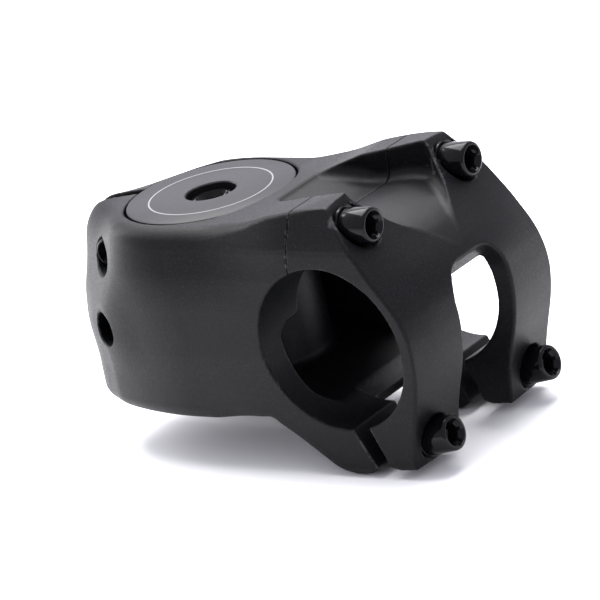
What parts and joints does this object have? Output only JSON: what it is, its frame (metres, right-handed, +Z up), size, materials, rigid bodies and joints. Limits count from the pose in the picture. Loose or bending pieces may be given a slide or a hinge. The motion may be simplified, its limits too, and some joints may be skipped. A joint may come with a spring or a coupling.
{
  "type": "bicycle handlebar stem",
  "caption": "short-reach handlebar stem with a slit steerer clamp, a bolted faceplate over a wide bar clamp, pinch bolts and a top cap",
  "frame": {"origin": "on the steerer axis, at the stem's bottom face", "axes": "+X towards the handlebar clamp, +Y to the left along the handlebar, +Z up the steerer"},
  "size_m": [0.0985, 0.0508, 0.0583],
  "materials": {
    "body": "black anodised over a fine blasted grain, satin",
    "faceplate": "black anodised over a fine blasted grain, satin",
    "cap": "black anodised, fine lathe marks, a thin silver ring",
    "bolts": "glossy black oxide steel",
    "washers": "black oxide steel"
  },
  "bodies": {
    "stem": {"stem_body": "body", "faceplate": "faceplate"},
    "cap": {"top_cap": "cap"},
    "cap_bolt": {"top_cap_bolt": "bolts"},
    "washer_top_right": {"washer_top_right": "washers"},
    "bolt_top_right": {"bolt_top_right": "bolts"},
    "washer_top_left": {"washer_top_left": "washers"},
    "bolt_top_left": {"bolt_top_left": "bolts"},
    "washer_bottom_right": {"washer_bottom_right": "washers"},
    "bolt_bottom_right": {"bolt_bottom_right": "bolts"},
    "washer_bottom_left": {"washer_bottom_left": "washers"},
    "bolt_bottom_left": {"bolt_bottom_left": "bolts"},
    "pinch_washer_upper": {"pinch_washer_upper": "washers"},
    "pinch_bolt_upper": {"pinch_bolt_upper": "bolts"},
    "pinch_washer_lower": {"pinch_washer_lower": "washers"},
    "pinch_bolt_lower": {"pinch_bolt_lower": "bolts"}
  },
  "joints": [
    {"name": "slide_top_right", "type": "slide", "parent": "stem", "child": "washer_top_right", "axis": [0.9994, 0, 0.0349], "range_m": [0, 0.016]},
    {"name": "turn_top_right", "type": "hinge", "parent": "washer_top_right", "child": "bolt_top_right", "pos_m": [0.0551, -0.0178, 0.042], "axis": [0.9994, 0, 0.0349], "range_deg": [0, 7200.1]},
    {"name": "slide_top_left", "type": "slide", "parent": "stem", "child": "washer_top_left", "axis": [0.9994, 0, 0.0349], "range_m": [0, 0.016]},
    {"name": "turn_top_left", "type": "hinge", "parent": "washer_top_left", "child": "bolt_top_left", "pos_m": [0.0551, 0.0178, 0.042], "axis": [0.9994, 0, 0.0349], "range_deg": [0, 7200.1]},
    {"name": "slide_bottom_right", "type": "slide", "parent": "stem", "child": "washer_bottom_right", "axis": [0.9781, 0, 0.2079], "range_m": [0, 0.016]},
    {"name": "turn_bottom_right", "type": "hinge", "parent": "washer_bottom_right", "child": "bolt_bottom_right", "pos_m": [0.0634, -0.0178, -0.0026], "axis": [0.9781, 0, 0.2079], "range_deg": [0, 7200.1]},
    {"name": "slide_bottom_left", "type": "slide", "parent": "stem", "child": "washer_bottom_left", "axis": [0.9781, 0, 0.2079], "range_m": [0, 0.016]},
    {"name": "turn_bottom_left", "type": "hinge", "parent": "washer_bottom_left", "child": "bolt_bottom_left", "pos_m": [0.0634, 0.0178, -0.0026], "axis": [0.9781, 0, 0.2079], "range_deg": [0, 7200.1]},
    {"name": "slide_pinch_upper", "type": "slide", "parent": "stem", "child": "pinch_washer_upper", "axis": [0, -1, 0], "range_m": [0, 0.016]},
    {"name": "turn_pinch_upper", "type": "hinge", "parent": "pinch_washer_upper", "child": "pinch_bolt_upper", "pos_m": [-0.02, -0.0074, 0.0325], "axis": [0, -1, 0], "range_deg": [0, 7200.1]},
    {"name": "slide_pinch_lower", "type": "slide", "parent": "stem", "child": "pinch_washer_lower", "axis": [0, -1, 0], "range_m": [0, 0.016]},
    {"name": "turn_pinch_lower", "type": "hinge", "parent": "pinch_washer_lower", "child": "pinch_bolt_lower", "pos_m": [-0.02, -0.0074, 0.0181], "axis": [0, -1, 0], "range_deg": [0, 7200.1]},
    {"name": "slide_cap", "type": "slide", "parent": "stem", "child": "cap", "axis": [0, 0, 1], "range_m": [0, 0.03]},
    {"name": "turn_cap_bolt", "type": "hinge", "parent": "cap", "child": "cap_bolt", "pos_m": [0, 0, 0.0405], "axis": [0, 0, 1], "continuous": true}
  ],
  "couplings": [
    {"joint": "turn_top_right", "follows": "slide_top_right", "rad_per_m": 7854},
    {"joint": "turn_top_left", "follows": "slide_top_left", "rad_per_m": 7854},
    {"joint": "turn_bottom_right", "follows": "slide_bottom_right", "rad_per_m": 7854},
    {"joint": "turn_bottom_left", "follows": "slide_bottom_left", "rad_per_m": 7854},
    {"joint": "turn_pinch_upper", "follows": "slide_pinch_upper", "rad_per_m": 7854},
    {"joint": "turn_pinch_lower", "follows": "slide_pinch_lower", "rad_per_m": 7854}
  ]
}
